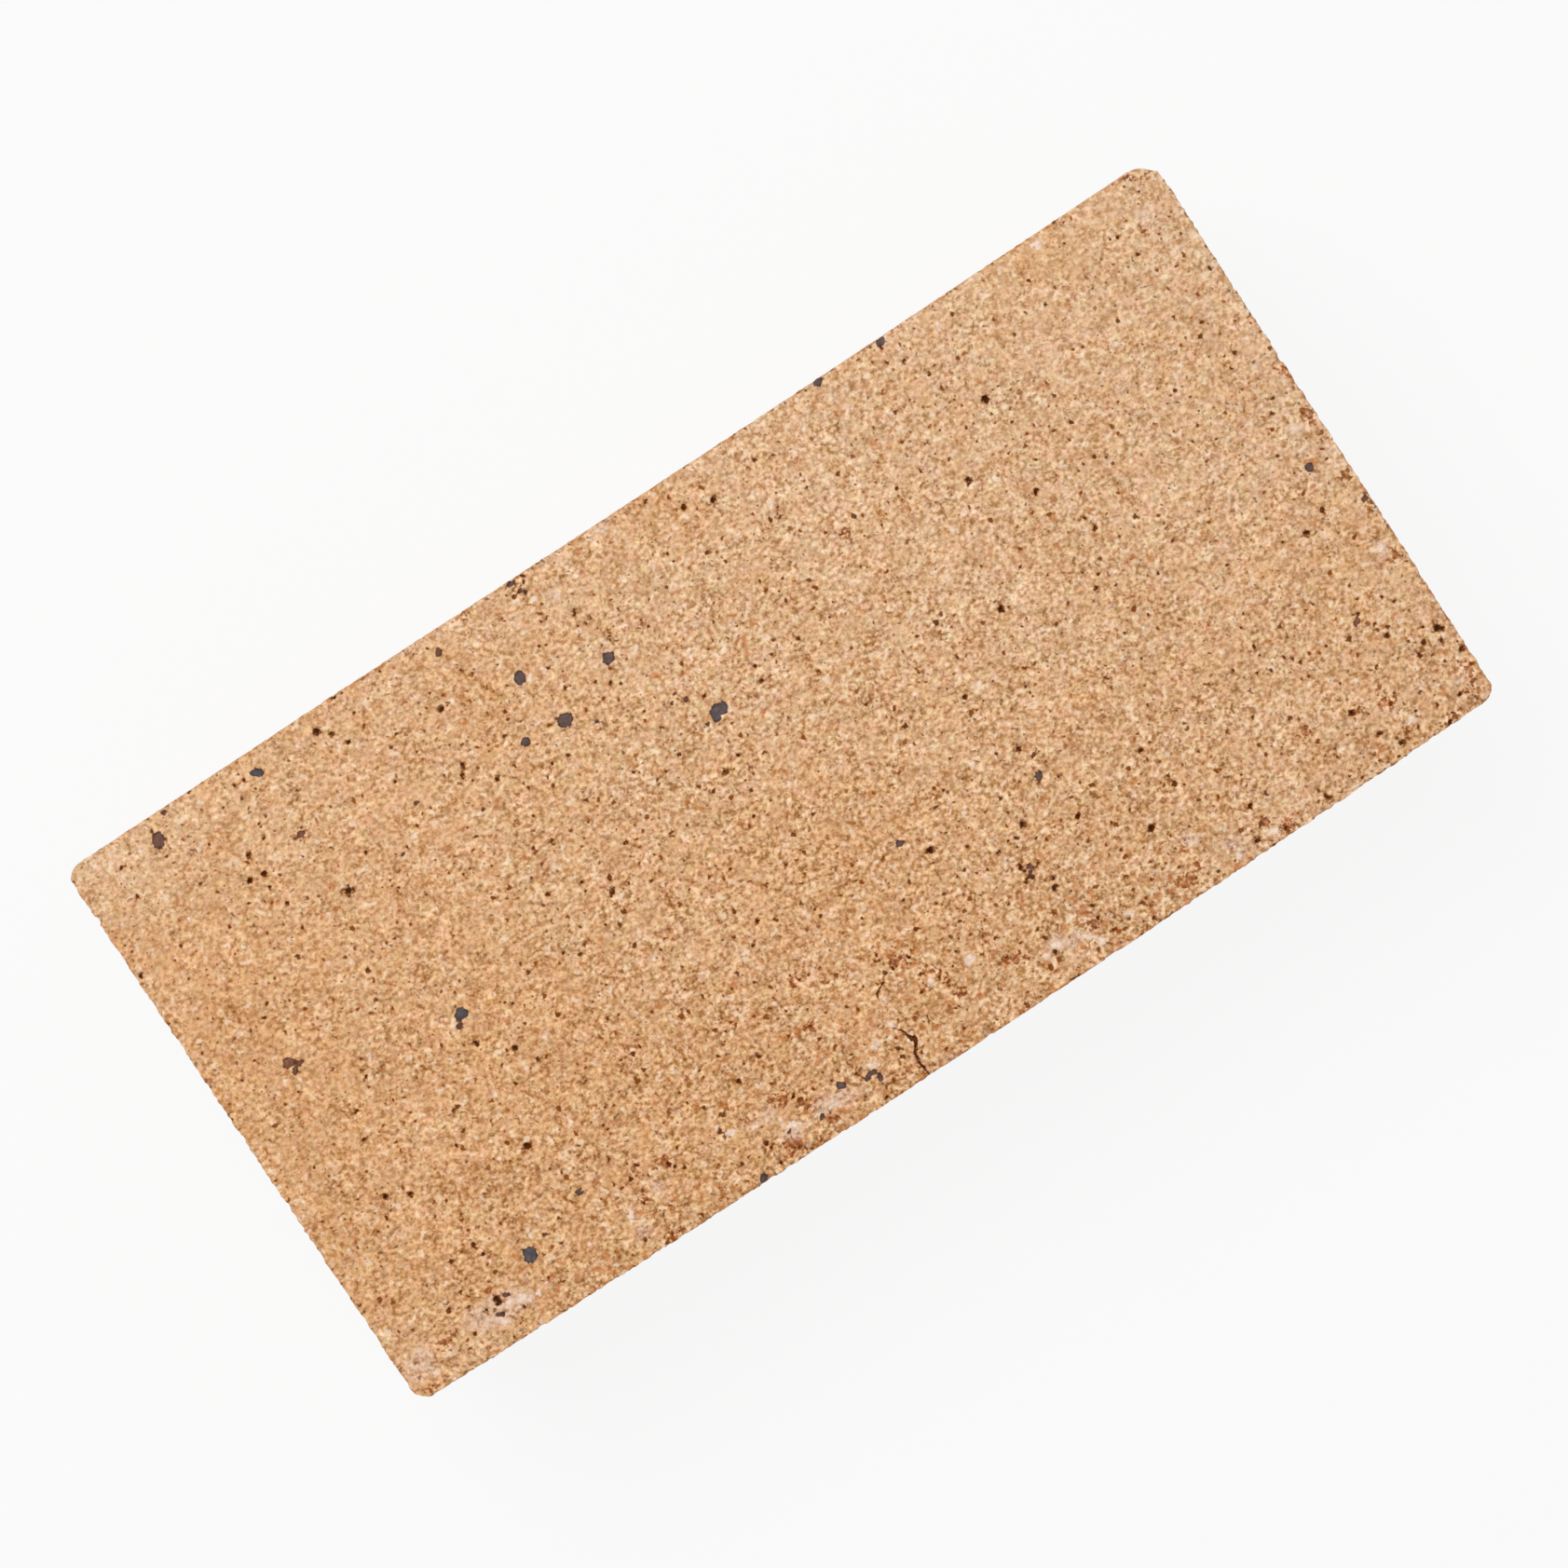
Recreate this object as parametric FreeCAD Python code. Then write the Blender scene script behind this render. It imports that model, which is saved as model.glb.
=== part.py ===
import FreeCAD, Part
import os

# A dense fireclay brick in the standard square format, pressed and fired as one piece.
# It lies on its lower bed face: +X along the length, +Y along the width, +Z up.
# The origin is the middle of the lower bed face. All lengths are in millimetres.

# Overall size of the brick
length = 230.0
width = 114.0
thickness = 64.0

# The four upright edges are rounded off, and the edges around both bed faces are softened
corner_radius = 3.2
arris_radius = 1.2


def upright_block(size_x, size_y, size_z, radius):
    """A block standing on z = 0, centred in plan, with its four upright edges rounded."""
    corner = FreeCAD.Vector(-size_x / 2, -size_y / 2, 0)
    block = Part.makeBox(size_x, size_y, size_z, corner)
    upright_edges = []
    for edge in block.Edges:
        start, end = (vertex.Point for vertex in edge.Vertexes)
        if abs(end.z - start.z) > size_z / 2:
            upright_edges.append(edge)
    return block.makeFillet(radius, upright_edges)


def soften_bed_edges(block, size_z, radius):
    """Rounds the closed run of edges around the lower and the upper bed face."""
    bed_edges = []
    for edge in block.Edges:
        height = edge.CenterOfMass.z
        run = edge.BoundBox.ZLength
        on_bed = min(abs(height), abs(height - size_z)) < radius / 2
        if on_bed and run < radius / 2:
            bed_edges.append(edge)
    return block.makeFillet(radius, bed_edges)


firebrick = upright_block(length, width, thickness, corner_radius)
firebrick = soften_bed_edges(firebrick, thickness, arris_radius)

os.makedirs("parts", exist_ok=True)
firebrick.exportStep("parts/firebrick.step")
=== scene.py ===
import bpy
import math
import numpy as np
from collections import namedtuple
from mathutils import Matrix, Vector, noise
from mathutils.geometry import delaunay_2d_cdt
from mathutils.kdtree import KDTree


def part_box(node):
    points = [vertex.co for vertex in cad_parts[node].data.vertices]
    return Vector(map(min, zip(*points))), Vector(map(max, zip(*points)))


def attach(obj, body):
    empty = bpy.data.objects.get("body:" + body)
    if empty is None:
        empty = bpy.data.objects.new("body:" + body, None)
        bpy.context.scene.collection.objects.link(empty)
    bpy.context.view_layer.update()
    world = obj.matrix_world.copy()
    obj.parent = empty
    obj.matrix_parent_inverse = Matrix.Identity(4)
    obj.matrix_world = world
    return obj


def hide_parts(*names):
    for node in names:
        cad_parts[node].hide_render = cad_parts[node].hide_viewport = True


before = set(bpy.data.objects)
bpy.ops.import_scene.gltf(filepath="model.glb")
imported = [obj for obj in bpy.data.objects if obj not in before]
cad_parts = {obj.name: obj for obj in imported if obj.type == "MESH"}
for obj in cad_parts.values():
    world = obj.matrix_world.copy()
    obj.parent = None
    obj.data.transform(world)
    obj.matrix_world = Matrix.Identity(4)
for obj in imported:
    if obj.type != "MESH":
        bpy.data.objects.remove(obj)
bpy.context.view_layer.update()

# The brick: fireclay and crushed fired grog, pressed in a steel mould and burnt in a kiln as one piece.
# Lengths are in millimetres and counted from the middle of the block: x along it, y across it, z up.
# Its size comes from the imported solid, and neither the warp nor the wear goes outside that.
mm = 0.001
corner_round = 3.2
arris_round = 0.5
low, high = (np.array(corner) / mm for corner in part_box("firebrick"))
half = (high - low) / 2
middle = (high + low) / 2
dice = np.random.default_rng(seed=20)

# Drying pulled the block out of true: a little short, the front side bellied out and the back one hollow.
# Where the belly peaks and where the hollow lies are shares of half the length.
end_shrink = 0.60
front_belly = 0.33
front_peak = 0.05
front_left_drop = 1.15
front_right_drop = 1.30
back_swell = 0.10
back_hollow = 0.35
hollow_middle = 0.2
hollow_reach = 0.8


def drying_shift(points):
    """How far drying moved each point of the pressed block, along and across it."""
    along, across = (points[:, :2] / half[:2]).T
    drop = np.where(along < front_peak, front_left_drop, front_right_drop)
    front = drop * (along - front_peak) ** 2 - front_belly
    in_hollow = np.clip((along - hollow_middle) / hollow_reach, -1, 1)
    back = back_swell - back_hollow * np.cos(in_hollow * math.pi / 2) ** 2
    shift = np.zeros_like(points)
    shift[:, 0] = -end_shrink * along
    shift[:, 1] = front * (1 - across) / 2 + back * (1 + across) / 2
    return shift


def as_pressed(place):
    """Where a spot that shows at this place of the upper face sat before drying."""
    shown = np.array([place], dtype=float)
    return (shown - drying_shift(shown))[0]


# Flaws in the body. Iron-bearing lumps melt to dark slag, air pockets and burnt-out bits leave open pores,
# ochre lumps stain the clay rust red, and salts dry to a pale bloom with white flecks near edges and corners.
# A face goes by the axis that it looks along and by its side, and each axis has the two that lie in the face.
Flaw = namedtuple("Flaw", "kind centre axes radii tone")
face_axes = ((0, 1, 2), (1, 2, 0), (2, 0, 1))
shown_face = (2, 1)


def flaw_on_face(kind, axis, sign, place, spread, turn, tone=0.0, depth=None):
    """A lens-shaped flaw in one face: place on the face, its length and breadth, and its turn in degrees."""
    normal, first, second = face_axes[axis]
    centre = np.zeros(3)
    centre[[normal, first, second]] = sign * half[normal], *place
    lengthwise = np.zeros(3)
    lengthwise[[first, second]] = math.cos(math.radians(turn)), math.sin(math.radians(turn))
    out = np.eye(3)[normal]
    radii = np.array([spread[0] / 2, spread[1] / 2, (depth or min(spread)) / 2])
    return Flaw(kind, centre, np.array([lengthwise, np.cross(out, lengthwise), out]), radii, tone)


# Slag spots on the upper face: along, across, length, breadth, turn, and tone from slate (0) to brown (1)
slag_spots = (
    (-13.8, 35.8, 2.4, 2.3, 0, 0.25), (-28.7, 41.4, 2.4, 2.2, 60, 0.25), (-26.1, 30.8, 2.9, 2.6, 0, 0.30),
    (-1.9, 17.4, 2.4, 2.2, 57, 0.10), (-3.0, 17.6, 2.6, 2.3, 20, 0.10), (-3.6, 16.8, 2.1, 1.9, 57, 0.10),
    (-34.1, 31.5, 1.8, 1.7, 0, 0.25), (-76.5, 53.0, 2.7, 1.6, -33, 0.00),
    (-97.3, 52.5, 3.1, 2.4, 57, 0.65), (-69.9, -2.2, 2.5, 2.3, 0, 0.00),
    (-71.4, -3.9, 1.7, 1.1, 57, 0.80), (-83.4, -44.5, 3.1, 2.6, 57, 0.00),
    (43.6, 56.1, 2.2, 1.8, 0, 0.25), (56.8, 56.0, 2.1, 1.7, 0, 0.20), (-41.5, -56.0, 1.8, 1.5, 0, 0.20),
    (11.1, -19.7, 1.7, 1.5, 0, 0.40), (38.1, -23.3, 1.9, 1.3, 57, 0.30),
    (107.8, -4.1, 1.7, 1.5, 57, 0.30), (-21.1, -49.8, 1.7, 1.4, -33, 0.25),
    (-16.3, -51.2, 2.1, 1.1, 26, 0.45), (-14.6, -52.5, 2.2, 0.9, 86, 0.60),
    (-15.1, -50.9, 1.3, 0.8, 0, 0.50), (-27.1, -52.7, 1.9, 0.7, 57, 0.80),
    (-33.2, -51.6, 1.4, 0.7, 20, 0.80), (-75.9, 39.7, 1.7, 1.2, 0, 1.00),
    (-70.0, -40.1, 1.6, 1.1, -33, 0.40), (100.1, -31.5, 2.0, 1.3, 57, 1.00),
    (113.1, -14.1, 1.4, 1.3, 0, 0.90), (-20.9, 56.1, 1.7, 1.2, 0, 0.35),
    (-100.0, 7.3, 2.4, 2.0, 20, 1.00), (-98.5, 6.2, 1.9, 1.0, 0, 1.00), (-99.8, 5.6, 2.3, 1.2, 57, 1.00),
    (-56.0, 33.1, 1.2, 0.8, 0, 0.90), (-62.8, 26.9, 1.1, 0.8, 30, 0.90), (-93.8, 56.0, 1.4, 0.8, 0, 1.00),
    (-8.7, 23.1, 1.1, 0.9, 0, 0.70), (-6.3, 22.2, 1.3, 0.9, -33, 0.90), (-38.2, 53.0, 2.0, 1.1, 57, 1.00),
    (-21.3, 27.4, 1.6, 0.8, -20, 1.00), (-93.6, -50.4, 1.7, 0.9, -33, 0.70),
    (-90.8, -48.1, 1.5, 0.7, -33, 0.70), (-19.7, 54.8, 1.4, 0.6, 57, 0.90),
    (-20.5, 54.3, 1.1, 0.5, 57, 1.00), (-19.6, 53.4, 1.5, 0.6, 107, 0.90),
    (-18.9, 55.2, 1.0, 0.5, 57, 1.00), (28.1, -35.9, 1.4, 1.0, -33, 0.90),
    (27.4, -36.9, 1.2, 0.8, 57, 1.00),
)
# Open pores on the upper face: along, across and width of the mouth
open_pores = (
    (-92.6, -47.7, 1.4), (-92.7, -48.5, 1.4), (-89.3, -51.5, 0.8), (-95.3, -48.5, 0.9),
    (-99.2, -50.9, 0.9), (-93.8, -49.5, 0.8), (66.6, 37.2, 1.7), (58.2, 50.7, 1.2), (16.9, 48.7, 1.5),
    (11.8, 50.5, 1.3), (6.7, 55.1, 1.0), (111.4, -40.3, 1.6), (110.8, -42.5, 0.9), (109.3, -38.7, 0.7),
    (113.1, -45.8, 1.0), (103.2, -36.5, 1.0), (100.9, -30.6, 0.9), (86.9, -31.0, 0.9), (31.1, -28.9, 1.6),
    (40.1, -33.1, 1.4), (49.8, -42.1, 1.5), (66.4, -48.5, 1.2), (69.6, -55.1, 1.1), (64.2, -54.2, 1.2),
    (78.1, -52.7, 0.9), (78.7, -54.4, 0.9), (90.6, -44.6, 1.2), (92.6, -50.4, 1.2), (95.1, -53.8, 1.2),
    (108.3, -52.3, 0.9), (97.5, -40.1, 0.8), (98.6, -40.2, 0.8), (103.0, 43.8, 0.9), (112.3, 34.8, 0.9),
    (109.0, 9.6, 0.8), (107.5, 7.6, 0.9), (105.8, -11.7, 1.4), (101.2, -13.5, 1.3), (-35.7, 1.3, 1.2),
    (-17.3, -17.3, 1.1), (-14.7, -18.6, 0.8), (-20.6, -20.6, 1.0), (-7.5, 7.6, 1.3), (48.7, 4.9, 1.5),
    (34.8, -4.4, 1.2), (65.1, 18.8, 1.2), (70.4, 7.7, 1.0), (64.8, -1.2, 1.1), (55.6, -29.4, 1.2),
    (37.9, -17.3, 1.4), (-85.7, 41.5, 1.3), (-85.2, 37.4, 1.3), (-87.9, 37.8, 1.3), (-70.6, -8.1, 1.3),
    (-65.4, -12.5, 1.3), (-73.2, -28.2, 1.8), (-98.9, -21.9, 1.4), (-95.1, -24.0, 1.3),
    (-41.8, 28.8, 1.3), (-43.2, 44.5, 1.4), (-57.9, 56.6, 1.2), (-63.6, 53.2, 1.6), (-61.8, 51.2, 1.1),
    (-60.0, 48.6, 1.1), (-45.5, 6.9, 0.9), (-113.1, 34.3, 1.3), (-90.7, -37.5, 1.0), (-90.2, -39.9, 1.0),
    (-37.7, -51.1, 1.1), (-37.3, -52.1, 1.0), (-38.6, -51.8, 0.8), (-30.5, -37.4, 0.9),
    (-33.1, -37.0, 0.8), (-35.6, -39.2, 0.9), (-15.4, -56.1, 0.9), (-37.4, -55.4, 0.9), (9.5, -38.4, 0.8),
    (10.5, -39.2, 0.8), (14.3, -41.6, 0.8), (23.5, -51.0, 1.1), (26.0, -46.5, 0.9), (2.6, -53.2, 0.8),
    (-62.5, -38.2, 0.9), (-58.9, -41.7, 0.9), (-53.4, -45.6, 0.8), (-52.1, -46.6, 0.8),
    (15.0, -23.7, 1.6), (41.0, -25.5, 1.0), (33.2, -50.3, 1.1), (33.4, -47.6, 0.7), (37.5, -53.1, 0.8),
    (30.5, -40.0, 1.0), (29.6, -41.4, 1.3), (40.5, -22.0, 0.7), (34.8, -22.3, 0.7), (-85.7, 35.0, 0.7),
    (-84.5, 30.9, 0.8), (-90.5, 28.3, 0.8), (-84.8, 25.7, 0.8), (-68.1, 30.8, 0.9), (-66.9, 22.2, 0.8),
    (-65.1, 24.9, 0.7), (-105.4, 52.1, 0.8), (-81.0, 53.3, 0.7), (-79.0, 53.0, 0.7), (-81.8, 42.6, 0.8),
    (-57.0, 38.3, 0.9), (-88.2, 52.7, 0.8), (-105.9, 46.4, 0.8), (-4.1, 8.8, 1.0), (7.0, 20.4, 0.9),
    (6.3, 17.7, 0.9), (-3.3, 20.9, 0.7), (-5.2, 38.0, 0.8), (-4.8, 36.6, 0.7), (-14.5, 45.5, 0.8),
    (-13.7, 43.0, 0.7), (-10.9, 39.6, 0.8), (-22.9, 35.6, 0.8), (-32.3, 25.7, 0.7), (32.4, -27.2, 0.8),
    (-21.2, 16.6, 0.8), (-45.6, 34.2, 0.9), (-46.0, 33.5, 1.0), (-46.4, 32.8, 0.9), (-46.8, 32.1, 0.7),
    (-74.5, 26.7, 1.5), (-75.4, 27.3, 0.9), (-73.6, 26.4, 0.9), (-74.1, 27.6, 0.7), (-74.9, 25.9, 0.7),
    (112.3, -40.9, 0.9), (-36.6, 0.6, 0.7), (56.4, 27.1, 1.4), (56.0, 26.4, 0.9), (-19.7, 48.8, 0.7),
    (-19.0, 47.5, 0.6), (-13.9, 46.3, 0.7), (-12.5, 43.4, 0.7), (-12.5, 41.3, 0.7), (-11.5, 38.7, 0.7),
    (-22.9, 44.2, 0.7), (-22.9, 40.1, 0.7), (-35.6, 46.6, 0.9), (-36.5, 48.0, 0.8), (-34.6, 43.3, 0.9),
    (-18.0, 33.5, 0.8), (-15.8, 31.9, 0.8), (-94.2, 2.1, 0.9), (-90.2, -0.8, 0.7), (-90.0, -2.3, 0.8),
    (-80.7, -1.7, 0.8), (-86.4, -9.0, 0.8), (-80.5, -15.7, 0.9), (-88.9, -12.7, 0.8), (-96.5, -11.4, 0.9),
    (-103.8, -3.2, 0.7), (-74.6, -9.3, 0.8), (-72.4, -7.2, 0.7), (-79.7, -8.1, 0.7), (-83.5, -21.2, 0.7),
    (-39.4, 5.4, 0.8), (-34.8, 3.6, 0.7), (-7.8, -11.9, 0.8), (-29.1, 6.8, 0.8), (-24.4, -6.2, 0.7),
    (-29.1, -1.2, 0.7), (-22.3, -17.6, 0.7), (-47.0, -17.7, 0.8), (-57.7, -6.6, 0.7), (-49.0, -3.2, 0.7),
    (-45.9, -0.8, 0.6), (67.9, 46.2, 0.8), (74.5, 43.2, 0.7), (60.7, 46.3, 0.7), (61.3, 31.9, 0.7),
    (63.7, 27.6, 0.8), (69.5, 33.3, 0.7), (41.4, 41.8, 0.9), (55.4, 31.9, 0.7), (56.3, 54.7, 0.7),
    (49.0, 30.8, 0.7), (27.4, -34.3, 1.0), (26.5, -35.2, 1.0), (26.8, -36.0, 0.8), (26.6, -36.7, 0.8),
    (26.3, -37.4, 0.8), (26.0, -38.0, 0.8), (27.4, -37.7, 0.9), (29.5, -36.0, 0.9), (29.0, -36.4, 0.9),
    (33.2, -33.4, 0.7), (27.4, -30.0, 0.7),
)
# Rust stains on the upper face: along, across, length, breadth and turn
rust_stains = (
    (-17.8, -29.8, 1.6, 1.2, 57), (-75.9, 39.5, 1.9, 1.8, 0), (33.1, 30.8, 1.6, 1.4, 0),
    (-32.7, -45.3, 2.1, 1.3, 57), (-31.1, -46.1, 2.1, 1.4, 57), (-28.3, -48.8, 2.8, 1.5, -43),
    (-33.9, -54.0, 3.7, 2.4, -43), (-25.6, -53.7, 1.9, 1.8, 0), (-38.2, -46.2, 1.6, 1.4, 0),
    (-0.7, -36.8, 3.3, 1.9, -20), (3.6, -42.0, 3.4, 1.0, -64), (0.4, -43.6, 1.3, 1.2, 0),
    (5.8, -47.6, 1.6, 1.4, 0), (31.7, -50.5, 2.0, 1.9, 0), (34.5, -53.5, 1.7, 1.0, 0),
    (-54.4, -44.1, 2.6, 1.6, -60), (-61.2, -47.0, 1.6, 1.3, 57), (-57.9, -51.5, 1.7, 1.3, -40),
    (-61.0, -55.6, 2.4, 1.1, 0), (-49.1, -54.4, 1.3, 0.9, 57), (70.8, -54.8, 2.7, 2.0, 0),
    (66.9, -52.2, 2.3, 1.3, -33), (50.0, -53.3, 3.3, 2.2, -20), (52.9, -52.2, 1.3, 1.1, 0),
    (52.4, -47.6, 1.6, 1.3, 0), (96.8, -46.7, 2.6, 1.9, -33), (91.2, -44.7, 2.2, 1.5, -33),
    (96.7, -43.8, 1.3, 1.3, 0), (81.9, -42.9, 1.7, 1.4, 0), (111.9, -50.1, 3.2, 1.4, 88),
    (105.0, -55.2, 3.0, 1.3, 0), (110.8, -53.3, 2.3, 0.8, -33), (113.3, 12.8, 1.7, 1.1, -20),
    (112.6, 3.9, 3.2, 1.6, 95), (112.7, -0.5, 1.2, 1.1, 0), (111.8, -25.4, 2.2, 1.5, 57),
    (113.1, -16.1, 2.2, 1.4, 90), (112.3, -8.9, 2.2, 1.8, 0), (-104.3, -49.1, 2.4, 1.6, 0),
    (109.4, 56.2, 1.2, 1.0, 0), (111.8, 54.8, 1.5, 0.9, 0), (-19.9, -38.1, 1.9, 1.7, 0),
    (17.0, -48.1, 3.0, 1.6, -10), (-27.3, -50.6, 1.2, 0.8, 57), (-35.0, -54.8, 1.2, 0.9, 57),
    (41.3, -52.5, 1.3, 1.1, 0), (-111.0, -54.7, 1.4, 1.0, 0), (-92.7, -45.8, 1.3, 0.9, 57),
    (-22.1, 55.0, 1.5, 1.1, -20), (-31.5, 56.0, 1.6, 1.0, 20),
)
# Pale bloom of salt on the upper face, a thin veil: along, across, length, breadth and turn
bloom_patches = (
    (-34.7, -47.1, 2.4, 1.8, 57), (-15.8, 50.3, 2.0, 1.4, 0), (-23.0, -51.3, 6.8, 2.6, -12),
    (-32.7, -52.0, 3.4, 2.4, -33), (24.4, -50.0, 3.4, 2.6, 0), (27.0, -51.0, 3.0, 1.6, 0),
    (54.1, -47.3, 1.8, 1.4, -33), (60.5, -52.3, 3.2, 2.0, -33), (109.1, -50.4, 1.5, 1.2, 0),
    (107.5, 49.6, 2.6, 2.4, 0), (109.4, 3.0, 2.6, 2.0, 0), (110.7, -23.1, 2.4, 2.0, 57),
    (-93.4, -49.5, 11.5, 5.0, -5), (-110.4, -50.0, 6.2, 3.8, 40), (-58.2, -46.9, 2.3, 1.9, 57),
    (-64.6, -51.6, 2.4, 1.8, 0), (-2.3, 55.6, 2.6, 1.6, 0),
)
# White flecks where the salt has caked, in the same order of values
salt_flecks = (
    (-23.8, -51.9, 1.5, 0.8, -33), (-32.0, -51.1, 3.2, 1.1, -38), (-42.0, -46.2, 1.5, 1.3, 0),
    (-37.9, -47.3, 1.3, 1.0, 0), (-27.2, -52.0, 0.9, 0.8, 0), (10.1, -43.7, 1.7, 1.4, 0),
    (2.3, -43.1, 1.3, 1.0, 57), (-8.0, -45.6, 1.3, 0.8, -70), (-12.7, -47.2, 0.9, 0.9, 0),
    (-6.3, -41.2, 1.0, 0.9, 0), (24.4, -50.0, 1.6, 1.2, 0), (21.8, -50.6, 1.5, 1.1, 0),
    (29.5, -51.6, 2.7, 0.9, -45), (31.5, -53.9, 1.0, 0.9, 0), (38.1, -52.8, 1.5, 1.0, -20),
    (-14.4, -50.2, 1.5, 0.8, -33), (67.6, -54.5, 1.4, 1.3, 0), (60.0, -54.6, 1.0, 0.9, 0),
    (98.7, -51.3, 1.5, 1.1, 0), (109.4, 3.0, 1.2, 0.9, 0), (110.8, -23.0, 1.2, 1.0, 57),
    (-91.2, -49.6, 1.3, 0.8, 20), (-88.6, -50.3, 2.0, 1.2, -33), (-85.8, -50.8, 2.2, 0.7, 15),
    (-93.5, -52.1, 1.3, 0.9, 0), (-108.7, -52.7, 1.3, 1.1, 0), (-64.6, -48.3, 2.3, 0.9, 57),
    (-19.0, 51.6, 1.1, 0.8, 0), (88.7, 54.9, 2.1, 1.3, 0), (-27.2, 40.3, 1.2, 1.0, 57),
)

# The listed flaws: a slag spot's depth is a share of its breadth, and a pore's breadth is one of its length
slag_depth = 0.7
pore_breadth = 0.9
pore_turn = 45
flaws = []
for x, y, length, breadth, turn, tone in slag_spots:
    depth = slag_depth * min(length, breadth)
    flaws.append(flaw_on_face("slag", *shown_face, as_pressed((x, y)), (length, breadth), turn, tone, depth))
for x, y, length in open_pores:
    mouth = length, pore_breadth * length
    flaws.append(flaw_on_face("pore", *shown_face, as_pressed((x, y)), mouth, pore_turn))
for kind, stains in (("rust", rust_stains), ("bloom", bloom_patches), ("salt", salt_flecks)):
    for x, y, length, breadth, turn in stains:
        flaws.append(flaw_on_face(kind, *shown_face, as_pressed((x, y)), (length, breadth), turn))

# The same flaws turn up by chance all over the block: square millimetres of face to each, and the smallest
# and largest length. On the upper face, where the lists above give the rest, only fine pores do.
chance_flaws = (
    ("pore", 520.0, 0.5, 0.9),
    ("slag", 1300.0, 1.0, 2.4),
    ("rust", 560.0, 1.0, 2.6),
    ("bloom", 1900.0, 1.4, 4.0),
    ("salt", 900.0, 0.8, 1.6),
)
flawed_share = 0.985
least_breadth = 0.6
for axis in range(3):
    for sign in (-1, 1):
        normal, first, second = face_axes[axis]
        area = 4 * half[first] * half[second]
        for kind, area_each, smallest, largest in chance_flaws:
            if (axis, sign) == shown_face and kind != "pore":
                continue
            for _ in range(int(area / area_each)):
                place = (dice.random(2) - 0.5) * 2 * half[[first, second]] * flawed_share
                length = smallest + (largest - smallest) * dice.random() ** 2
                breadth = length * (least_breadth + (1 - least_breadth) * dice.random())
                turn = dice.random() * 180
                tone = dice.random()
                flaws.append(flaw_on_face(kind, axis, sign, place, (length, breadth), turn, tone))

# Drying and cooling cracks on the upper face: points along each, and its half width at those points
cracks = (
    ((-3.3, -32.4, 0.00), (-3.3, -33.7, 0.06), (-3.5, -35.3, 0.08), (-3.7, -36.7, 0.03),
     (-4.4, -38.5, 0.06), (-6.2, -39.3, 0.13), (-6.9, -39.7, 0.11), (-7.3, -41.3, 0.00),
     (-7.6, -42.7, 0.04), (-8.3, -43.6, 0.00)),
    ((-8.4, -46.1, 0.02), (-7.6, -46.7, 0.09), (-6.9, -47.3, 0.12), (-6.6, -48.1, 0.20),
     (-6.4, -49.0, 0.30), (-6.0, -49.9, 0.48), (-5.6, -50.1, 0.52), (-5.9, -50.9, 0.34),
     (-6.3, -51.5, 0.22), (-7.1, -52.2, 0.17), (-7.1, -53.1, 0.20), (-7.3, -54.2, 0.22),
     (-7.2, -55.5, 0.20), (-6.9, -57.0, 0.16)),
    ((-17.4, -48.7, 0.05), (-17.7, -49.8, 0.07), (-16.9, -51.0, 0.05)),
    ((-1.4, -47.8, 0.05), (-1.8, -48.3, 0.07), (-2.1, -49.3, 0.04)),
)
pressed_cracks = [[(*as_pressed(bend[:2]), bend[2]) for bend in crack] for crack in cracks]
crack_zone = 12.0
crack_bend = 0.9
crack_stray = 0.16
stray_seeds = (11, 12)
seeds_apart = 17.3


def cloud(points, patch, seed):
    """Smooth random values from about -1 to 1, in patches of the given width."""
    return np.array([noise.noise(point) for point in (points / patch + seed * seeds_apart).tolist()])


def half_cloud(points, patch, seed):
    """The same kind of values from about 0 to 1."""
    return 0.5 + 0.5 * cloud(points, patch, seed)


def crack_gap(points):
    """How far each point lies outside the nearest crack, below zero in it. Cracks run round the grains."""
    nearest = np.full(len(points), crack_zone)
    for crack in pressed_cracks:
        bends = np.array(crack)
        reach = np.ptp(bends[:, :2], axis=0) / 2 + crack_zone
        close = (np.abs(points[:, :2] - bends[:, :2].mean(0)) < reach).all(1)
        close = np.flatnonzero(close & (points[:, 2] > half[2] - crack_zone))
        strays = [cloud(points[close], crack_bend, seed) for seed in stray_seeds]
        flat = points[close, :2] + crack_stray * np.stack(strays, 1)
        for (x0, y0, w0), (x1, y1, w1) in zip(crack, crack[1:]):
            start = np.array([x0, y0])
            run = np.array([x1, y1]) - start
            share = np.clip((flat - start) @ run / (run @ run), 0, 1)
            away = np.linalg.norm(flat - start - share[:, None] * run, axis=1) - (w0 + (w1 - w0) * share)
            nearest[close] = np.minimum(nearest[close], away)
    return nearest


def flaw_gap(points, flaw):
    """How far each point lies outside a flaw, below zero inside it."""
    inside = np.linalg.norm((points - flaw.centre) @ flaw.axes.T / flaw.radii, axis=1)
    return (inside - 1) * flaw.radii[:2].min()


# The surface: points are strewn over the six faces, closer together at the edges, flaws and cracks,
# joined up into triangles face by face, then pulled round the worn corners and edges.
# A cell is the usual distance between points. In the bands and on the rims it is halved, up to three times.
lower_face = (2, -1)
face_cells = {shown_face: 1.06, lower_face: 2.2}
side_cell = 1.45
edge_band = 2.6
rim_band = 1.1
rim_step = 0.33
edge_step = 0.66
split_below = 0.75
stray_share = 0.7
flaw_band = 0.5
flaw_rim = 0.3
crack_band = 0.6
crack_rim = 0.3
flat_digits = 6
weld_digits = 4
hull_triangles = 0
touching = 1e-7


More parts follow.
